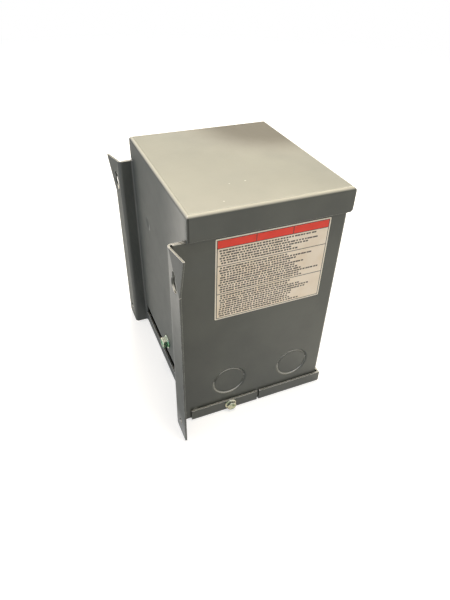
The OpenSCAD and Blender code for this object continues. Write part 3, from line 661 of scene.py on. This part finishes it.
def plate(build, points, low_t, high_t, material_index):
    """A flat plate over an outline, between two heights."""
    under = [build.verts.new((x * MM, y * MM, low_t * MM)) for x, y in points]
    over = [build.verts.new((x * MM, y * MM, high_t * MM)) for x, y in points]
    faces = [build.faces.new(list(reversed(under))), build.faces.new(over)]
    count = len(points)
    for i in range(count):
        j = (i + 1) % count
        faces.append(build.faces.new((under[i], under[j], over[j], over[i])))
    for face in faces:
        face.material_index = material_index


def box_points(x0, x1, y0, y1):
    """Corner points of a rectangle."""
    return [(x0, y0), (x1, y0), (x1, y1), (x0, y1)]


def rows_tree(ink):
    """A node tree that lays rows of plain bars, ragged at their far end, down a block."""
    tree = bpy.data.node_groups.new("ragged_rows", "GeometryNodeTree")
    tree.interface.new_socket("Geometry", in_out="INPUT", socket_type="NodeSocketGeometry")
    for name in ("Row Width", "Row Height", "Row Pitch", "Left", "Top", "Lift", "Shortest", "Bar Pitch"):
        tree.interface.new_socket(name, in_out="INPUT", socket_type="NodeSocketFloat")
    for name in ("Rows", "Bars", "Seed"):
        tree.interface.new_socket(name, in_out="INPUT", socket_type="NodeSocketInt")
    tree.interface.new_socket("Rows Out", in_out="OUTPUT", socket_type="NodeSocketGeometry")
    source = add_node(tree, "NodeGroupInput").outputs

    def calc(operation, first, second=0.0):
        return add_node(tree, "ShaderNodeMath", {0: first, 1: second}, operation=operation).outputs[0]

    def chance(lowest, highest, seed, ident):
        made = add_node(tree, "FunctionNodeRandomValue", {"Seed": seed, "ID": ident}, data_type="FLOAT")
        for key, value in ((2, lowest), (3, highest)):
            if isinstance(value, bpy.types.NodeSocket):
                tree.links.new(value, made.inputs[key])
            else:
                made.inputs[key].default_value = value
        return made.outputs[1]

    count = calc("MULTIPLY", source["Rows"], source["Bars"])
    points = add_node(tree, "GeometryNodePoints", {"Count": count})
    index = add_node(tree, "GeometryNodeInputIndex").outputs[0]
    row = calc("FLOOR", calc("DIVIDE", calc("ADD", index, 0.5), source["Bars"]))
    column = calc("SUBTRACT", index, calc("MULTIPLY", row, source["Bars"]))
    length = chance(0.55, 0.95, source["Seed"], index)
    shift = chance(-0.35, 0.5, calc("ADD", source["Seed"], 3), row)
    start = calc("MULTIPLY", calc("ADD", column, shift), source["Bar Pitch"])
    middle = calc("ADD", start, calc("MULTIPLY", calc("MULTIPLY", length, source["Bar Pitch"]), 0.5))
    x = calc("ADD", source["Left"], middle)
    y = calc("SUBTRACT", source["Top"], calc("MULTIPLY", calc("ADD", row, 0.5), source["Row Pitch"]))
    place = add_node(tree, "ShaderNodeCombineXYZ", {0: x, 1: y, 2: source["Lift"]})
    laid = add_node(tree, "GeometryNodeSetPosition", {
        "Geometry": points.outputs[0], "Position": place.outputs[0]})
    share = chance(source["Shortest"], 1.0, calc("ADD", source["Seed"], 7), row)
    beyond = calc("GREATER_THAN", calc("ADD", start, calc("MULTIPLY", source["Bar Pitch"], 0.5)),
                  calc("MULTIPLY", share, source["Row Width"]))
    kept = add_node(tree, "GeometryNodeDeleteGeometry", {"Geometry": laid.outputs[0], "Selection": beyond},
                    domain="POINT")
    bar = add_node(tree, "GeometryNodeMeshCube", {"Size": (1, 1, 1)})
    size = add_node(tree, "ShaderNodeCombineXYZ", {
        0: calc("MULTIPLY", length, source["Bar Pitch"]), 1: source["Row Height"], 2: INK_RISE * MM})
    bars = add_node(tree, "GeometryNodeInstanceOnPoints", {
        "Points": kept.outputs[0], "Instance": bar.outputs[0], "Scale": size.outputs[0]})
    real = add_node(tree, "GeometryNodeRealizeInstances", {"Geometry": bars.outputs[0]})
    inked = add_node(tree, "GeometryNodeSetMaterial", {"Geometry": real.outputs[0], "Material": ink})
    add_node(tree, "NodeGroupOutput", {0: inked.outputs[0]})
    return tree


def make_label():
    """The sticker on the left side panel: film, printed areas and rows of plain bars, drawn flat
    and then stood against the panel."""
    lowest, highest = low("side_label"), high("side_label")
    width = highest.y - lowest.y
    height = highest.z - lowest.z
    thick = highest.x - lowest.x
    half_w, half_h = width / 2, height / 2

    border = printed_sheet("sticker_border", "#FAF3E4", "#EFE4CF", 0.34)
    cream = printed_sheet("sticker_face", "#F5E9D6", "#E9D8BE", 0.38)
    red = printed_sheet("sticker_red", "#EE2C06", "#DA2404", 0.32)
    dark = printed_sheet("sticker_line", "#2C2622", "#3A322B", 0.45)
    grey = printed_sheet("sticker_bar", "#463E37", "#5C5349", 0.5)

    build = bmesh.new()
    plate(build, rounded_outline(half_w, half_h, LABEL_CORNER_R), 0, thick, 0)
    x0, x1 = LABEL_MARGIN - half_w, half_w - LABEL_MARGIN
    y0, y1 = LABEL_MARGIN - half_h, half_h - LABEL_MARGIN
    ink = thick
    plate(build, box_points(x0, x1, y0, y1), ink, ink + INK_RISE, 3)
    ix0, ix1, iy0, iy1 = x0 + OUTLINE_W, x1 - OUTLINE_W, y0 + OUTLINE_W, y1 - OUTLINE_W
    header_low = y1 - HEADER_H
    ink += INK_RISE
    cell = (ix1 - ix0) / HEADER_CELLS
    for i in range(HEADER_CELLS):
        left = ix0 + i * cell + (OUTLINE_W / 2 if i else 0)
        right = ix0 + (i + 1) * cell - (OUTLINE_W / 2 if i < HEADER_CELLS - 1 else 0)
        plate(build, box_points(left, right, header_low, iy1), ink, ink + INK_RISE, 2)
    stops = [header_low - OUTLINE_W] + [rise - half_h for rise in BLOCK_RISES] + [iy0]
    for upper, lower in zip(stops, stops[1:]):
        low_edge = lower + (OUTLINE_W if lower > iy0 else 0)
        plate(build, box_points(ix0, ix1, low_edge, upper), ink, ink + INK_RISE, 1)
    sheet = piece_from("printed_side_label", build, [border, cream, red, dark, grey])

    tree = rows_tree(grey)
    ink += 1.5 * INK_RISE
    parts = [sheet]
    row_w = ix1 - ix0 - 3.4
    for i, (upper, lower) in enumerate(zip(stops, stops[1:])):
        carrier = add_object("rows", bpy.data.meshes.new("rows"))
        parts.append(settled(carrier, "label_rows", tree, {
            "Row Width": row_w * MM, "Row Height": ROW_H * MM, "Row Pitch": ROW_PITCH * MM,
            "Left": (ix0 + ROW_INDENT) * MM, "Top": (upper - ROWS_DROP) * MM, "Lift": ink * MM,
            "Shortest": 0.6, "Bar Pitch": BAR_PITCH * MM, "Rows": int((upper - lower - 0.8) / ROW_PITCH),
            "Bars": int(row_w / BAR_PITCH), "Seed": 5 + 3 * i}))
    bpy.ops.object.select_all(action="DESELECT")
    for part in parts:
        part.select_set(True)
    bpy.context.view_layer.objects.active = sheet
    bpy.ops.object.join()
    standing = Matrix(((0, 0, -1, 0), (-1, 0, 0, 0), (0, 1, 0, 0), (0, 0, 0, 1)))
    middle = Vector((highest.x, (lowest.y + highest.y) / 2, (lowest.z + highest.z) / 2)) * MM
    sheet.data.transform(Matrix.Translation(middle) @ standing)
    finish_piece(sheet, ["side_label"])


# Finishes of the CAD nodes


def dress_case():
    wear(case_enamel(), "back_and_roof_sheet", "side_and_front_sheet", "rear_bottom_cover",
         "front_bottom_cover")


def dress_inside():
    wear(plated_steel(), "ground_nut", "ground_lug_screw", "clamp_bar_top_front", "clamp_bar_top_rear",
         "clamp_bar_bottom_front", "clamp_bar_bottom_rear", "clamp_bolts", "clamp_washers", "clamp_nuts")
    wear(cast_lug_metal(), "ground_lug")
    wear(silicon_steel(), "core_e_laminations", "core_i_laminations")
    wear(wound_wire("primary_copper", 1.3, "#A4562C", "#8A4220"), "primary_winding")
    wear(wound_wire("secondary_copper", 2.6, "#B0602F", "#934A24"), "secondary_winding")
    wear(layered_paper("former_pressboard", "#A98552", "#8B6A3D"), "coil_former")
    wear(layered_paper("insulating_paper", "#C8B083", "#B39A6C"), "winding_insulation", "outer_wrap")
    wear(sand_filled_resin(), "potting_compound")
    primary = [f"primary_lead_{i}" for i in range(1, 5)]
    secondary = [f"secondary_lead_{i}" for i in range(1, 5)]
    wear(lead_sleeve("primary_sleeve", high(primary[0]).y - BARE_WIRE_L, 1), *primary)
    wear(lead_sleeve("secondary_sleeve", low(secondary[0]).y + BARE_WIRE_L, -1), *secondary)


# Studio


def make_floor():
    """A pale floor that takes the shadow, and turns into the white of the background further out."""
    mesh = bpy.data.meshes.new("studio_floor")
    reach = 8.0
    corners = [(-reach, -reach, 0), (reach, -reach, 0), (reach, reach, 0), (-reach, reach, 0)]
    mesh.from_pydata(corners, [], [(0, 1, 2, 3)])
    floor = add_object("studio_floor", mesh)
    material = bpy.data.materials.new("pale_floor")
    material.use_nodes = True
    tree = material.node_tree
    tree.nodes.clear()
    seen = seen_directly(tree)
    away = add_node(tree, "ShaderNodeVectorMath", {0: millimetres(tree)}, operation="LENGTH").outputs[1]
    colour = blend_colour(tree, spread(tree, away, 500, 1600), "#CFCFCD", "#000000")
    matte = add_node(tree, "ShaderNodeBsdfDiffuse", {"Color": colour})
    strength = spread(tree, away, 500, 1600, 0.62, 1.0)
    glow = add_node(tree, "ShaderNodeEmission", {
        "Color": (1, 1, 1, 1), "Strength": math_node(tree, "MULTIPLY", seen, strength)})
    both = add_node(tree, "ShaderNodeAddShader", {0: matte.outputs[0], 1: glow.outputs[0]})
    add_node(tree, "ShaderNodeOutputMaterial", {"Surface": both.outputs[0]})
    mesh.materials.append(material)


def make_world():
    """A white background that lights the object with a plain, weaker fill."""
    world = bpy.data.worlds.new("studio_world")
    world.use_nodes = True
    bpy.context.scene.world = world
    tree = world.node_tree
    tree.nodes.clear()
    seen = seen_directly(tree)
    fill = add_node(tree, "ShaderNodeBackground", {"Color": linear("#F1F4F5"), "Strength": 0.33})
    pale = add_node(tree, "ShaderNodeBackground", {"Color": (1, 1, 1, 1), "Strength": 1.0})
    both = add_node(tree, "ShaderNodeMixShader", {0: seen, 1: fill.outputs[0], 2: pale.outputs[0]})
    add_node(tree, "ShaderNodeOutputWorld", {"Surface": both.outputs[0]})


def make_lamp(name, place, aim, size, watts, colour):
    """A soft rectangular lamp at place, in metres, that faces aim."""
    light = bpy.data.lights.new(name, "AREA")
    light.shape = "RECTANGLE"
    light.size, light.size_y = size
    light.energy = watts
    light.color = linear(colour)[:3]
    lamp = add_object(name, light)
    lamp.location = place
    lamp.rotation_euler = (Vector(aim) - Vector(place)).to_track_quat("-Z", "Y").to_euler()


def make_camera():
    """The photograph's view: the camera stands high at the back's left corner."""
    camera = bpy.data.cameras.new("camera")
    camera.lens = 28.907
    camera.sensor_width = 36.0
    camera.shift_x = -0.00425
    camera.shift_y = -0.0077
    camera.clip_start = 0.01
    viewer = add_object("camera", camera)
    viewer.location = (-0.32147, 0.13755, 0.34282)
    viewer.rotation_euler = Euler([math.radians(a) for a in (51.823, -1.552, -112.805)])
    bpy.context.scene.camera = viewer


make_camera()
make_world()
make_floor()
make_lamp("window_sheen", (1.12, -0.72, 1.42), (0, 0, 0.2), (1.7, 0.7), 34, "#FFF5E2")
make_lamp("ceiling_lamp", (-0.1, 0.0, 1.7), (0, 0, 0.1), (0.8, 0.8), 15, "#FFF2E2")
make_lamp("roof_edge_light", (0.78, -0.29, 1.32), (0, 0, 0.2), (0.5, 0.5), 8, "#FFF5E6")
make_lamp("cool_side_light", (-0.30, 0.75, 0.12), (-0.07, 0.06, 0.08), (0.35, 0.35), 1.5, "#BCCDFF")
make_lamp("right_window", (-0.9, -1.4, 0.9), (0, 0, 0.1), (0.4, 0.4), 2.0, "#FFF4E4")
make_lamp("fold_highlight", (-0.70, -0.30, 1.25), (-0.05, 0, 0.2), (0.35, 0.35), 3.2, "#FFF6E8")
dress_case()
dress_inside()
straw_zinc = plated_screw("straw_chromate_zinc", (
    (0.36, "#737E62"), (0.48, "#A0A588"), (0.58, "#BDBB9E"), (0.72, "#B0988A")), "#4F4F3C")
green_zinc = plated_screw("green_dyed_zinc", (
    (0.36, "#2C5E3E"), (0.50, "#558661"), (0.60, "#A9C6A6"), (0.72, "#D6B6A4")), "#26402F")
make_screws("hex_washer_screws", NUMBER_10, COVER_SCREWS, straw_zinc)
make_screws("ground_hex_screw", QUARTER_INCH, GROUND_SCREW, green_zinc)
make_label()

bpy.context.scene.view_settings.view_transform = "Standard"
